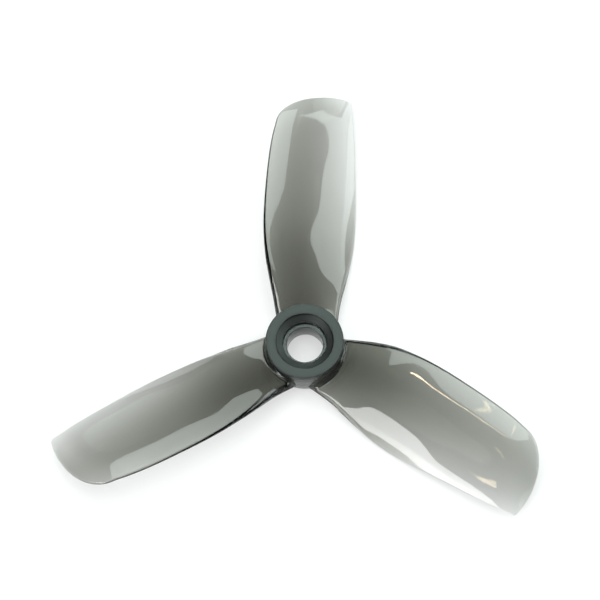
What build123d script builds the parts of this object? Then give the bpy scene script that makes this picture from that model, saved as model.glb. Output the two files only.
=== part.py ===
"""Three-bladed propeller for a small quadcopter, moulded in smoked polycarbonate.

The hub is a thick stepped ring that a motor shaft passes through. Three equal blades stand on its wall,
a third of a turn apart. Seen from above the propeller turns anticlockwise, so each blade's leading edge
is the one on its anticlockwise side, and it stands higher than the trailing edge.

Frame: millimetres, +Z up along the spin axis. The origin is on that axis, at the hub's lower face, where
the propeller seats on the motor. The first blade points along +Y.
"""

from build123d import *
import os
from math import sqrt
from typing import NamedTuple

# Overall sizes
PROPELLER_DIAMETER = 76.2
BLADE_COUNT = 3

# Hub: a ring with a flat upper rim for the nut, a shallow dish inside the rim, and a stepped bore
HUB_DIAMETER = 11.0
HUB_HEIGHT = 5.0
HUB_EDGE_RADIUS = 0.2
SHAFT_DIAMETER = 5.0
SHAFT_CLEARANCE = 0.05
COUNTERBORE_DIAMETER = 6.2
COUNTERBORE_DEPTH = 1.75
DISH_DIAMETER = 8.0
DISH_STEP = 0.25
DISH_SLOPE = 0.25

# Blade thickness: it thins along the blade, fast near the hub and then more slowly
ROOT_NOSE_THICKNESS = 2.0
TIP_NOSE_THICKNESS = 0.75
ROOT_TAIL_THICKNESS = 1.2
TIP_TAIL_THICKNESS = 0.4
THICKNESS_TAPER = 2

# Blade camber: the rise of the middle of a section above its chord, as a share of the chord
CAMBER = 0.07
CAMBER_ONSET = 4

# Blade tip: seen from above it is half an ellipse, which lies to the trailing side of the blade's axis
TIP_OFFSET = 3.25
TIP_HALF_WIDTH = 7.6
TIP_DEPTH = 5.35

# The blade is shaped from inside the hub to past the tip, then trimmed
ROOT_DEPTH = 3.5
TIP_OVERRUN = 1.0

HUB_RADIUS = HUB_DIAMETER / 2
TIP_RADIUS = PROPELLER_DIAMETER / 2
BORE_RADIUS = SHAFT_DIAMETER / 2 + SHAFT_CLEARANCE
MIDDLE_HEIGHT = HUB_HEIGHT / 2


class Chord(NamedTuple):
    """The chord of one blade section, from its leading to its trailing edge."""

    lead: float  # leading edge's distance from the blade's axis
    rise: float  # leading edge's height above the hub's middle plane
    trail: float  # trailing edge's distance from the blade's axis
    drop: float  # trailing edge's depth below that plane


# Evenly spaced along the blade, from inside the hub to past the tip
CHORDS = (
    Chord(lead=3.75, rise=-2.60, trail=4.40, drop=2.15),
    Chord(lead=4.50, rise=1.20, trail=5.00, drop=1.55),
    Chord(lead=5.55, rise=3.00, trail=6.30, drop=2.35),
    Chord(lead=5.90, rise=3.15, trail=7.00, drop=2.75),
    Chord(lead=5.65, rise=2.90, trail=7.10, drop=2.20),
    Chord(lead=5.15, rise=2.55, trail=7.00, drop=1.85),
    Chord(lead=4.05, rise=1.95, trail=6.80, drop=1.65),
    Chord(lead=1.70, rise=-0.35, trail=6.30, drop=1.60),
)


def section(chord: Chord, share: float, distance: float) -> Wire:
    """The closed outline of the section at this share of the blade, on an upright plane across +Y."""
    leading = Vector(-chord.lead, distance, MIDDLE_HEIGHT + chord.rise)
    trailing = Vector(chord.trail, distance, MIDDLE_HEIGHT - chord.drop)
    along = trailing - leading
    upward = Vector(0, -1, 0).cross(along.normalized())
    taper = (1 - share) ** THICKNESS_TAPER
    nose = TIP_NOSE_THICKNESS + (ROOT_NOSE_THICKNESS - TIP_NOSE_THICKNESS) * taper
    tail = TIP_TAIL_THICKNESS + (ROOT_TAIL_THICKNESS - TIP_TAIL_THICKNESS) * taper
    camber = CAMBER * along.length * (1 - (1 - share) ** CAMBER_ONSET)

    def surface(aft: float, side: int) -> Vector:
        """A point of the upper (side 1) or lower (side -1) surface, this share of the chord aft."""
        bow = 4 * camber * aft * (1 - aft)
        thickness = nose + (tail - nose) * aft
        return leading + along * aft + upward * (bow + side * thickness / 2)

    nose_aft = nose / 2 / along.length
    stops = (nose_aft, 0.25, 0.5, 0.75, 1)
    upper = Spline(*[surface(aft, 1) for aft in stops])
    lower = Spline(*[surface(aft, -1) for aft in reversed(stops)])
    leading_edge = ThreePointArc(surface(nose_aft, -1), leading, surface(nose_aft, 1))
    trailing_edge = Line(surface(1, 1), surface(1, -1))
    return Wire([leading_edge, upper, trailing_edge, lower])


def blade_blank() -> Solid:
    """The blade before its root and tip are trimmed: a loft through its sections."""
    start = HUB_RADIUS - ROOT_DEPTH
    length = TIP_RADIUS + TIP_OVERRUN - start
    shares = [i / (len(CHORDS) - 1) for i in range(len(CHORDS))]
    return Solid.make_loft([section(c, share, start + share * length) for c, share in zip(CHORDS, shares)])


def tip_space() -> Part:
    """A tall block that covers the whole blade seen from above, and ends in the rounded tip."""
    tip_centre = sqrt(TIP_RADIUS**2 - TIP_OFFSET**2) - TIP_DEPTH
    rounded_end = Pos(TIP_OFFSET, tip_centre) * Ellipse(TIP_HALF_WIDTH, TIP_DEPTH)
    inner = Pos(0, tip_centre / 2) * Rectangle(2 * TIP_RADIUS, tip_centre)
    return extrude(rounded_end + inner, TIP_RADIUS, both=True)


def blade(number: int) -> Part:
    """One blade, trimmed to the tip's outline and cut to sit on the hub's wall."""
    hub_space = Cylinder(HUB_RADIUS, 4 * HUB_HEIGHT)
    trimmed = (blade_blank() & tip_space()) - hub_space
    return Rot(0, 0, 360 / BLADE_COUNT * (number - 1)) * trimmed


def hub() -> Part:
    """The hub, turned from its half section."""
    counterbore_radius = COUNTERBORE_DIAMETER / 2
    counterbore_floor = HUB_HEIGHT - COUNTERBORE_DEPTH
    dish_radius = DISH_DIAMETER / 2
    dish_height = HUB_HEIGHT - DISH_STEP
    half_section = Polyline(
        (BORE_RADIUS, 0),
        (HUB_RADIUS, 0),
        (HUB_RADIUS, HUB_HEIGHT),
        (dish_radius, HUB_HEIGHT),
        (dish_radius, dish_height),
        (counterbore_radius, dish_height - DISH_SLOPE),
        (counterbore_radius, counterbore_floor),
        (BORE_RADIUS, counterbore_floor),
        close=True,
    )
    turned = revolve(make_face(Plane.XZ * half_section), Axis.Z)
    circles = turned.edges().filter_by(GeomType.CIRCLE)
    rims = circles.filter_by(lambda edge: abs(edge.radius - HUB_RADIUS) < 1e-6)
    return fillet(rims, HUB_EDGE_RADIUS)


os.makedirs("parts", exist_ok=True)
export_step(hub(), "parts/hub.step")
for number in range(1, BLADE_COUNT + 1):
    export_step(blade(number), f"parts/blade_{number}.step")
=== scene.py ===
"""A three-bladed propeller for a small quadcopter, moulded in smoked polycarbonate, lying on a pale table.

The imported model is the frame: its origin is on the spin axis at the hub's lower face, +Z is up, and the
first blade points along +Y. Every length below is in metres unless its name says millimetres.
"""

import math

import bpy
from mathutils import Matrix, Vector
from mathutils.kdtree import KDTree


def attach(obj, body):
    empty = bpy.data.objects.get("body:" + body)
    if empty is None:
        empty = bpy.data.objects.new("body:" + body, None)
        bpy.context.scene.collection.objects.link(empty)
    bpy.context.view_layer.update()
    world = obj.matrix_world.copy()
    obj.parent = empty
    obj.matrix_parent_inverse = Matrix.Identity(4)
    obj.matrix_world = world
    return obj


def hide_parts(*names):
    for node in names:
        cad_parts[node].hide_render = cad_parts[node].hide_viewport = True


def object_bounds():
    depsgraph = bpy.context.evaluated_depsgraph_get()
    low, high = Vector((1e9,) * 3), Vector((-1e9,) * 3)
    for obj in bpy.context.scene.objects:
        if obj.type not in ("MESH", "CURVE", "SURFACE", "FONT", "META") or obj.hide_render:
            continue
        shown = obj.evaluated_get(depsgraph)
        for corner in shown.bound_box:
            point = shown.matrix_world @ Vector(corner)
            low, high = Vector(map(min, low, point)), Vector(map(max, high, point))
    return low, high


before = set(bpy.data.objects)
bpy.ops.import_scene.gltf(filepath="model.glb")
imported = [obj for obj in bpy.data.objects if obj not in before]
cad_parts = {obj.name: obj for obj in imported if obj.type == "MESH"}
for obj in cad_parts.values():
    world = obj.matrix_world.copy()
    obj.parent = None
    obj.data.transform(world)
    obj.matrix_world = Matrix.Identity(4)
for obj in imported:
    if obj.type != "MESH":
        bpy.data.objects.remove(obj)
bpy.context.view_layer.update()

MM = 0.001

# ---------------------------------------------------------------------------------------------------------
# The blades: three equal twisted blades, moulded in one with the hub, in clear polycarbonate with a smoke
# tint. Each is thick and rounded along its leading edge and thins to its trailing edge and its tip. It meets
# the hub's wall in a small fillet.

PROPELLER_RADIUS = 38.1
HUB_RADIUS = 5.5
MIDDLE_HEIGHT = 2.5
BLADE_COUNT = 3

# Eight even steps along a blade: the distance of each edge from the blade's axis, the height of the leading
# edge above the hub's middle and the depth of the trailing edge below it
CHORD_START = 2.0
CHORD_END = 39.1
LEAD = (3.75, 4.50, 5.55, 5.90, 5.65, 5.15, 4.05, 1.70)
TRAIL = (4.40, 5.00, 6.30, 7.00, 7.10, 7.00, 6.80, 6.30)
RISE = (-2.60, 1.20, 3.00, 3.15, 2.90, 2.55, 1.95, -0.35)
DROP = (2.15, 1.55, 2.35, 2.75, 2.20, 1.85, 1.65, 1.60)

# How steeply a section falls at these shares of its chord, against its mean: nearly level over the nose,
# then a crease, then the working face. The first row of slopes is for the flattest section and the second
# for the steepest; the third row says how far each of the eight steps is from the first to the second
SLOPE_STATIONS = (0.0, 0.1, 0.22, 0.28, 0.6, 0.85, 1.0)
FLAT_SLOPES = (0.10, 0.27, 0.45, 1.10, 1.20, 1.25, 1.80)
STEEP_SLOPES = (0.25, 0.40, 0.55, 0.80, 0.95, 1.40, 2.40)
STEEPNESS = (0.0, 0.15, 0.90, 1.00, 0.60, 0.28, 0.08, 0.0)
SLOPE_STEPS = 500
SLOPE_SMOOTHINGS = 40
CURVE_ONSET = 4           # how soon along the blade its straight root section takes on those slopes

# The greatest thickness and the trailing edge's thickness at those eight steps, and between the leading
# (first) and the trailing edge (last) how far a section has grown from the second towards the first
THICKEST = (2.10, 1.90, 1.68, 1.30, 1.06, 0.90, 0.78, 0.62)
THINNEST = (1.20, 1.05, 0.70, 0.39, 0.25, 0.20, 0.18, 0.16)
FULLNESS = (0.60, 0.84, 0.98, 0.97, 0.80, 0.57, 0.34, 0.14, 0.0)

TIP_OFFSET = 3.25
TIP_HALF_WIDTH = 7.6
TIP_DEPTH = 5.35

WALL_OVERLAP = 0.08       # how far a root reaches into the hub's wall, so that no air lies between them
FILLET = 0.7
UNDER_FILLET = 0.3
NOSE_ROUNDING = 0.55      # the rounded edge's depth, as a share of the thickness
WALL_FOLLOWING = 0.3      # the share of the blade, from the hub, where the rows still follow its round wall
OUTLINE_STEP = 0.05
TIP_STEPS = 240
CORNER_SMOOTHINGS = 60
ROWS = 150
COLUMNS = 88


def smooth_curve(values):
    """A function of the share along the blade: a natural cubic spline through evenly spaced values."""
    last = len(values) - 1
    bend = [0.0] * len(values)
    ratio = [0.0] * len(values)
    for i in range(1, last):
        pivot = 4 - ratio[i - 1]
        ratio[i] = 1 / pivot
        bend[i] = (6 * (values[i + 1] - 2 * values[i] + values[i - 1]) - bend[i - 1]) / pivot
    for i in range(last - 1, 0, -1):
        bend[i] -= ratio[i] * bend[i + 1]

    def curve(share):
        place = min(max(share, 0), 1) * last
        i = min(int(place), last - 1)
        b = place - i
        a = 1 - b
        level = a * values[i] + b * values[i + 1]
        return level + ((a**3 - a) * bend[i] + (b**3 - b) * bend[i + 1]) / 6

    return curve


lead, trail, rise, drop = (smooth_curve(values) for values in (LEAD, TRAIL, RISE, DROP))
thickest, thinnest, fullness = (smooth_curve(values) for values in (THICKEST, THINNEST, FULLNESS))
steepness = smooth_curve(STEEPNESS)


def share_along(y):
    return (y - CHORD_START) / (CHORD_END - CHORD_START)


def fall(slopes):
    """A function of the share across the chord: how much of a section's whole fall lies ahead of it."""
    fine = []
    for step in range(SLOPE_STEPS + 1):
        place = step / SLOPE_STEPS
        k = max(i for i in range(len(SLOPE_STATIONS) - 1) if SLOPE_STATIONS[i] <= place)
        part = (place - SLOPE_STATIONS[k]) / (SLOPE_STATIONS[k + 1] - SLOPE_STATIONS[k])
        fine.append(slopes[k] + (slopes[k + 1] - slopes[k]) * part)
    for smoothing in range(SLOPE_SMOOTHINGS):
        fine = [fine[0]] + [(a + 2 * b + c) / 4 for a, b, c in zip(fine, fine[1:], fine[2:])] + [fine[-1]]
    total = [0.0]
    for a, b in zip(fine, fine[1:]):
        total.append(total[-1] + (a + b) / 2)

    def curve(aft):
        if aft < 0:
            return aft * SLOPE_STEPS * fine[0] / total[-1]
        if aft >= 1:
            return 1 + (aft - 1) * SLOPE_STEPS * fine[-1] / total[-1]
        i = int(aft * SLOPE_STEPS)
        return (total[i] + (total[i + 1] - total[i]) * (aft * SLOPE_STEPS - i)) / total[-1]

    return curve


flat_fall, steep_fall = fall(FLAT_SLOPES), fall(STEEP_SLOPES)


def upper_height(x, y):
    """The height of the blade's upper face, in millimetres, before its edges are rounded."""
    share = share_along(y)
    chord = lead(share) + trail(share)
    aft = (x + lead(share)) / chord
    drop_across = rise(share) + drop(share)
    steep = steepness(share)
    shaped = flat_fall(aft) * (1 - steep) + steep_fall(aft) * steep
    onset = 1 - (1 - share) ** CURVE_ONSET
    fallen = aft + (shaped - aft) * onset
    nose, tail = thickest(share) * FULLNESS[0], thinnest(share)
    return MIDDLE_HEIGHT + rise(share) - drop_across * fallen + (nose + (tail - nose) * aft) / 2


def thickness(x, y):
    share = share_along(y)
    aft = (x + lead(share)) / (lead(share) + trail(share))
    return thinnest(share) + (thickest(share) - thinnest(share)) * fullness(aft)


def within_tip(x, y):
    if y < tip_y:
        return True
    return ((x - TIP_OFFSET) / TIP_HALF_WIDTH) ** 2 + ((y - tip_y) / TIP_DEPTH) ** 2 < 1


def edge(side, width):
    """One edge's points, from the hub's wall to where the tip's curve cuts it."""
    points = []
    y = CHORD_START
    while within_tip(side * width(share_along(y)), y) and y < CHORD_END:
        x = side * width(share_along(y))
        if math.hypot(x, y) > root_radius:
            points.append(Vector((x, y)))
        y += OUTLINE_STEP
    return points


def tip_angle(point):
    return math.atan2(max(point.y - tip_y, 0) / TIP_DEPTH, (point.x - TIP_OFFSET) / TIP_HALF_WIDTH)


def spaced(points, step):
    """The same line with its points a step apart."""
    line = [points[0]]
    rest = step
    for a, b in zip(points, points[1:]):
        run = (b - a).length
        while rest <= run:
            line.append(a + (b - a) * (rest / run))
            rest += step
        rest -= run
    return line


def at_share(line, share):
    """The point at this share of a line of evenly spaced points."""
    place = share * (len(line) - 1)
    i = min(int(place), len(line) - 2)
    return line[i].lerp(line[i + 1], place - i)


root_radius = HUB_RADIUS - WALL_OVERLAP
tip_y = math.sqrt(PROPELLER_RADIUS**2 - TIP_OFFSET**2) - TIP_DEPTH
leading_edge = edge(-1, lead)
trailing_edge = edge(1, trail)
start_angle, end_angle = tip_angle(leading_edge[-1]), tip_angle(trailing_edge[-1])
tip_edge = []
for i in range(1, TIP_STEPS):
    angle = start_angle + (end_angle - start_angle) * i / TIP_STEPS
    tip_edge.append(
        Vector((TIP_OFFSET + TIP_HALF_WIDTH * math.cos(angle), tip_y + TIP_DEPTH * math.sin(angle)))
    )
corner = trailing_edge[-1].copy()
outline = spaced(leading_edge + tip_edge + trailing_edge[::-1], OUTLINE_STEP)

# The trailing corner of the tip is a little rounded, as a mould's is
for smoothing in range(CORNER_SMOOTHINGS):
    between = [(a + b * 2 + c) / 4 for a, b, c in zip(outline, outline[1:], outline[2:])]
    outline = [outline[0], *between, outline[-1]]
apex = min(range(len(outline)), key=lambda i: (outline[i] - corner).length)
front_line = spaced(outline[: apex + 1], OUTLINE_STEP)
back_line = spaced(outline[apex:][::-1], OUTLINE_STEP)
rim = KDTree(len(outline))
for i, point in enumerate(outline):
    rim.insert((point.x, point.y, 0), i)
rim.balance()


def rim_distance(point):
    """How far a point is inside the blade's free edge."""
    flat = Vector((point.x, point.y, 0))
    nearest = rim.find(flat)[1]
    gap = None
    for i in (nearest - 1, nearest):
        if 0 <= i < len(outline) - 1:
            a, b = outline[i], outline[i + 1]
            t = min(max((point - a).dot(b - a) / (b - a).length_squared, 0), 1)
            reach = (point - a - (b - a) * t).length
            gap = reach if gap is None else min(gap, reach)
    return gap


def blade_point(across, along, side):
    """A point of the blade's skin in millimetres, from its shares across and along; side is 1 above."""
    u = (1 - math.cos(math.pi * across)) / 2
    front, back = at_share(front_line, along), at_share(back_line, along)
    plan = front.lerp(back, u)
    # Near the hub the rows follow its round wall
    root = front_line[0].lerp(back_line[0], (plan.x - front_line[0].x) / (back_line[0].x - front_line[0].x))
    inside = max(1 - along / WALL_FOLLOWING, 0) ** 2
    plan.y += inside * (math.sqrt(max(root_radius**2 - plan.x**2, 0)) - root.y)
    x, y = plan
    step = 0.02
    slope_x = (upper_height(x + step, y) - upper_height(x - step, y)) / (2 * step)
    slope_y = (upper_height(x, y + step) - upper_height(x, y - step)) / (2 * step)
    lean = math.sqrt(1 + slope_x**2 + slope_y**2)
    through = thickness(x, y)
    half = through * lean / 2
    middle = upper_height(x, y) - half
    if across in (0, 1) or along == 1:
        half = 0
    else:
        depth = min(rim_distance(plan) / (through * NOSE_ROUNDING), 1)
        half *= math.sqrt(1 - (1 - depth) ** 2)
    point = Vector((x, y, middle + half * side))
    # The fillet where the blade meets the hub's wall
    clear = max(math.hypot(x, y) - HUB_RADIUS, 0)
    radius = FILLET if side > 0 else UNDER_FILLET
    if clear < radius:
        lift = radius - math.sqrt(radius**2 - (radius - clear) ** 2)
        point.z += side * lift
    return point


def deselect():
    for piece in bpy.context.selected_objects:
        piece.select_set(False)


def in_edit_mode(piece):
    """Opens one piece in edit mode with everything in it selected."""
    deselect()
    bpy.context.view_layer.objects.active = piece
    piece.select_set(True)
    bpy.ops.object.mode_set(mode="EDIT")
    bpy.ops.mesh.select_all(action="SELECT")


def add_node(tree, kind, links=(), **settings):
    """Adds a node, sets its properties and inputs, and links (output, input name) pairs into it."""
    node = tree.nodes.new(kind)
    for name, value in settings.items():
        if hasattr(node, name):
            setattr(node, name, value)
        else:
            node.inputs[name.replace("_", " ")].default_value = value
    for output, name in links:
        tree.links.new(output, node.inputs[name])
    return node


def linear(hex_colour):
    """An sRGB hex colour as a linear colour with alpha."""
    levels = [int(hex_colour[i : i + 2], 16) / 255 for i in (1, 3, 5)]
    return (*[v / 12.92 if v <= 0.04045 else ((v + 0.055) / 1.055) ** 2.4 for v in levels], 1)


# Smoked clear polycarbonate, as it comes from a polished mould: glossy, with the slight waviness of a
# moulded face and a few dull spots. It darkens with depth, so the thin tip is pale and the root is dark.
SMOKE_INDEX = 1.585
SMOKE_TINT = "#7B8069"
SMOKE_DEPTH = 1250
WAVE_SIZE = 6 * MM
SCUFF_SIZE = 0.35 * MM


def new_material(name):
    material = bpy.data.materials.new(name)
    material.use_nodes = True
    material.node_tree.nodes.clear()
    return material, material.node_tree


blade_material, tree = new_material("smoked_polycarbonate_polished")
place = add_node(tree, "ShaderNodeTexCoord").outputs["Object"]
waves = add_node(tree, "ShaderNodeTexNoise", [(place, "Vector")], Scale=1 / WAVE_SIZE, Detail=1.0)
wavy = add_node(tree, "ShaderNodeBump", [(waves.outputs["Fac"], "Height")], Strength=0.006, Distance=0.2 * MM)
scuffs = add_node(tree, "ShaderNodeTexNoise", [(place, "Vector")], Scale=1 / SCUFF_SIZE, Detail=3.0)
scuffed = add_node(
    tree,
    "ShaderNodeMapRange",
    [(scuffs.outputs["Fac"], "Value")],
    From_Min=0.55,
    From_Max=0.8,
    To_Min=0.03,
    To_Max=0.10,
)
skin = add_node(
    tree,
    "ShaderNodeBsdfPrincipled",
    [(wavy.outputs["Normal"], "Normal"), (scuffed.outputs["Result"], "Roughness")],
    Base_Color=(1, 1, 1, 1),
    IOR=SMOKE_INDEX,
    Transmission_Weight=1.0,
)
smoke = add_node(tree, "ShaderNodeVolumeAbsorption", Color=linear(SMOKE_TINT), Density=SMOKE_DEPTH)
add_node(
    tree,
    "ShaderNodeOutputMaterial",
    [(skin.outputs["BSDF"], "Surface"), (smoke.outputs["Volume"], "Volume")],
)

# One flat grid becomes a slab, and each of its corners goes to its place on the blade's skin
deselect()
bpy.ops.mesh.primitive_grid_add(x_subdivisions=COLUMNS, y_subdivisions=ROWS, size=1, location=(0.5, 0.5, 0))
first_blade = bpy.context.active_object
bpy.ops.object.transform_apply(location=True)
in_edit_mode(first_blade)
bpy.ops.mesh.extrude_region_move(TRANSFORM_OT_translate={"value": (0, 0, 1)})
bpy.ops.object.mode_set(mode="OBJECT")
for vertex in first_blade.data.vertices:
    column = round(vertex.co.x * COLUMNS) / COLUMNS
    row = round(vertex.co.y * ROWS) / ROWS
    vertex.co = blade_point(column, row, 1 if vertex.co.z > 0.5 else -1) * MM
in_edit_mode(first_blade)
bpy.ops.mesh.remove_doubles(threshold=0.0005 * MM)
bpy.ops.mesh.normals_make_consistent(inside=False)
bpy.ops.mesh.faces_shade_smooth()
bpy.ops.object.mode_set(mode="OBJECT")
first_blade.data.materials.append(blade_material)

for number in range(1, BLADE_COUNT + 1):
    blade = first_blade
    if number > 1:
        blade = first_blade.copy()
        blade.data = first_blade.data.copy()
        bpy.context.scene.collection.objects.link(blade)
        blade.data.transform(Matrix.Rotation(math.tau / BLADE_COUNT * (number - 1), 4, "Z"))
    blade.name = f"clear_blade_{number}"
    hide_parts(f"blade_{number}")
    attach(blade, "root")

# ---------------------------------------------------------------------------------------------------------
# The hub: a thick ring of the same smoked plastic. The nut clamps on its matt upper rim; inside the rim a
# shallow dish leads to a counterbore, and the motor's shaft passes through the bore.

HUB_HEIGHT = 5.0
BORE_RADIUS = 2.55
COUNTERBORE_RADIUS = 3.1
COUNTERBORE_DEPTH = 1.75
DISH_RADIUS = 4.0
DISH_STEP = 0.25
DISH_SLOPE = 0.25
HUB_EDGE = 0.14
HUB_SIDES = 160

dish_height = HUB_HEIGHT - DISH_STEP
ledge_height = HUB_HEIGHT - COUNTERBORE_DEPTH
HUB_PROFILE = (
    (BORE_RADIUS, 0),
    (HUB_RADIUS, 0),
    (HUB_RADIUS, HUB_HEIGHT),
    (DISH_RADIUS, HUB_HEIGHT),
    (DISH_RADIUS, dish_height),
    (COUNTERBORE_RADIUS, dish_height - DISH_SLOPE),
    (COUNTERBORE_RADIUS, ledge_height),
    (BORE_RADIUS, ledge_height),
    (BORE_RADIUS, 0),
)

# A ring of edges is drawn out from corner to corner of the hub's section until it closes on itself
deselect()
radius, height = HUB_PROFILE[0]
bpy.ops.mesh.primitive_circle_add(vertices=HUB_SIDES, radius=radius * MM, location=(0, 0, 0))
hub = bpy.context.active_object
hub.name = "moulded_hub"
in_edit_mode(hub)
for next_radius, next_height in HUB_PROFILE[1:]:
    bpy.ops.mesh.extrude_region_move(TRANSFORM_OT_translate={"value": (0, 0, (next_height - height) * MM)})
    scale = next_radius / radius
    bpy.ops.transform.resize(value=(scale, scale, 1), center_override=(0, 0, next_height * MM))
    radius, height = next_radius, next_height
bpy.ops.mesh.select_all(action="SELECT")
bpy.ops.mesh.remove_doubles(threshold=0.001 * MM)
bpy.ops.mesh.normals_make_consistent(inside=False)
bpy.ops.object.mode_set(mode="OBJECT")
rounding = hub.modifiers.new("rounded_edges", "BEVEL")
rounding.width = HUB_EDGE * MM
rounding.segments = 3
rounding.limit_method = "ANGLE"
rounding.angle_limit = math.radians(12)
bpy.ops.object.modifier_apply(modifier=rounding.name)
bpy.ops.object.shade_smooth_by_angle(angle=math.radians(40))

# The hub's smoked polycarbonate: the same plastic as the blades, so thick that it looks black, with a fine
# spark-eroded grain on its rim and dish that spreads the light into a soft grey.
HUB_TINT = "#6C7366"
GRAIN_SIZE = 0.12 * MM
RIM_ROUGHNESS = 0.42
WALL_ROUGHNESS = 0.16

hub_material, tree = new_material("smoked_polycarbonate_grained")
place = add_node(tree, "ShaderNodeTexCoord").outputs["Object"]
height_above = add_node(tree, "ShaderNodeSeparateXYZ", [(place, "Vector")]).outputs["Z"]
upper = add_node(
    tree,
    "ShaderNodeMapRange",
    [(height_above, "Value")],
    From_Min=(ledge_height + 0.2) * MM,
    From_Max=(HUB_HEIGHT - 0.6) * MM,
    To_Min=WALL_ROUGHNESS,
    To_Max=RIM_ROUGHNESS,
)
grain = add_node(tree, "ShaderNodeTexNoise", [(place, "Vector")], Scale=1 / GRAIN_SIZE, Detail=2.0)
grained = add_node(
    tree, "ShaderNodeBump", [(grain.outputs["Fac"], "Height")], Strength=0.25, Distance=0.03 * MM
)
skin = add_node(
    tree,
    "ShaderNodeBsdfPrincipled",
    [(grained.outputs["Normal"], "Normal"), (upper.outputs["Result"], "Roughness")],
    Base_Color=(1, 1, 1, 1),
    IOR=SMOKE_INDEX,
    Specular_Tint=linear("#F0FFFA"),
    Transmission_Weight=1.0,
)
smoke = add_node(tree, "ShaderNodeVolumeAbsorption", Color=linear(HUB_TINT), Density=SMOKE_DEPTH)
add_node(
    tree,
    "ShaderNodeOutputMaterial",
    [(skin.outputs["BSDF"], "Surface"), (smoke.outputs["Volume"], "Volume")],
)
hub.data.materials.append(hub_material)
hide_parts("hub")
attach(hub, "root")

# ---------------------------------------------------------------------------------------------------------
# The table: a plain white surface that the propeller lies on. Half of its white is its own glow, seen
# straight, through the plastic or mirrored in it; the other half takes the lamps' light and the soft shadow.

TABLE_SIZE = 3
TABLE_GAP = 0.02 * MM

low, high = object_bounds()
deselect()
bpy.ops.mesh.primitive_plane_add(size=TABLE_SIZE, location=(0, 0, low[2] - TABLE_GAP))
table = bpy.context.active_object
table.name = "table"
table_material, tree = new_material("white_laminate")
seen = add_node(tree, "ShaderNodeLightPath")
straight_or_through = add_node(
    tree,
    "ShaderNodeMath",
    [(seen.outputs["Is Camera Ray"], 0), (seen.outputs["Is Transmission Ray"], 1)],
    operation="MAXIMUM",
)
or_mirrored = add_node(
    tree,
    "ShaderNodeMath",
    [(straight_or_through.outputs[0], 0), (seen.outputs["Is Glossy Ray"], 1)],
    operation="MAXIMUM",
)
paper = add_node(tree, "ShaderNodeBsdfDiffuse", Color=(0.50, 0.50, 0.50, 1))
glow = add_node(tree, "ShaderNodeEmission", [(or_mirrored.outputs[0], "Strength")], Color=(0.50, 0.50, 0.50, 1))
both = add_node(tree, "ShaderNodeAddShader", [(paper.outputs[0], 0), (glow.outputs[0], 1)])
add_node(tree, "ShaderNodeOutputMaterial", [(both.outputs[0], "Surface")])
table.data.materials.append(table_material)

# ---------------------------------------------------------------------------------------------------------
# The studio: a large soft box overhead, with a thin warm strip in front of it, a soft box at the right and a
# smaller one at the front left, in a dim room. The polished blades mirror each of them as a lighter band.

CEILING = 1.0


def lamp(name, width, depth, radiance, colour="#FFFFFF"):
    """A rectangular soft box; radiance is its own brightness, where 1 is a white surface's."""
    light = bpy.data.lights.new(name, "AREA")
    light.shape = "RECTANGLE"
    light.size = width
    light.size_y = depth
    light.energy = radiance * math.pi * width * depth
    light.color = linear(colour)[:3]
    piece = bpy.data.objects.new(name, light)
    bpy.context.scene.collection.objects.link(piece)
    return piece


def ceiling_box(name, near, far, left, right, radiance, colour="#FFFFFF"):
    """A soft box that faces down, with its sides this far out from above the hub."""
    box = lamp(name, right - left, far - near, radiance, colour)
    box.location = ((left + right) / 2, (near + far) / 2, CEILING)


def standing_box(name, azimuth, elevation, distance, width, height, radiance, colour="#FFFFFF"):
    """A soft box that faces the hub."""
    box = lamp(name, width, height, radiance, colour)
    flat = math.cos(elevation)
    towards = Vector((flat * math.cos(azimuth), flat * math.sin(azimuth), math.sin(elevation)))
    box.location = towards * distance
    box.rotation_euler = towards.to_track_quat("Z", "Y").to_euler()


ceiling_box("overhead_box", -0.14, 1.7, -0.52, 0.44, 2.9, "#F4FFFC")
ceiling_box("warm_strip", -0.235, -0.215, -0.28, -0.14, 26, "#FFE6C4")
standing_box("right_box", math.radians(13), math.radians(27.5), 1.2, 1.6, 0.576, 3.5, "#F4FFFC")
standing_box("front_left_box", math.radians(-135), math.radians(34.2), 1.3, 0.75, 0.575, 7.0)

world = bpy.data.worlds.new("room")
bpy.context.scene.world = world
world.use_nodes = True
world.node_tree.nodes.clear()
tree = world.node_tree
dim = add_node(tree, "ShaderNodeBackground", Color=(0.95, 1, 1, 1), Strength=0.14)
add_node(tree, "ShaderNodeOutputWorld", [(dim.outputs[0], "Surface")])

# ---------------------------------------------------------------------------------------------------------
# The camera: far away with a long lens, high in front of the propeller and a little to the right.

camera_data = bpy.data.cameras.new("camera")
camera = bpy.data.objects.new("camera", camera_data)
bpy.context.scene.collection.objects.link(camera)
camera_data.lens = 227.2
camera_data.sensor_width = 36
camera_data.clip_start = 0.05
camera_data.clip_end = 20
back = Vector((0.0280, -0.3245, 0.9455)).normalized()
up = Vector((0.0040, 0.9459, 0.3246))
right = up.cross(back).normalized()
up = back.cross(right)
camera.matrix_world = Matrix.Translation(Vector((14.24, -166.72, 508.40)) * MM) @ Matrix(
    (right, up, back)
).transposed().to_4x4()
bpy.context.scene.camera = camera
bpy.context.scene.view_settings.view_transform = "Standard"
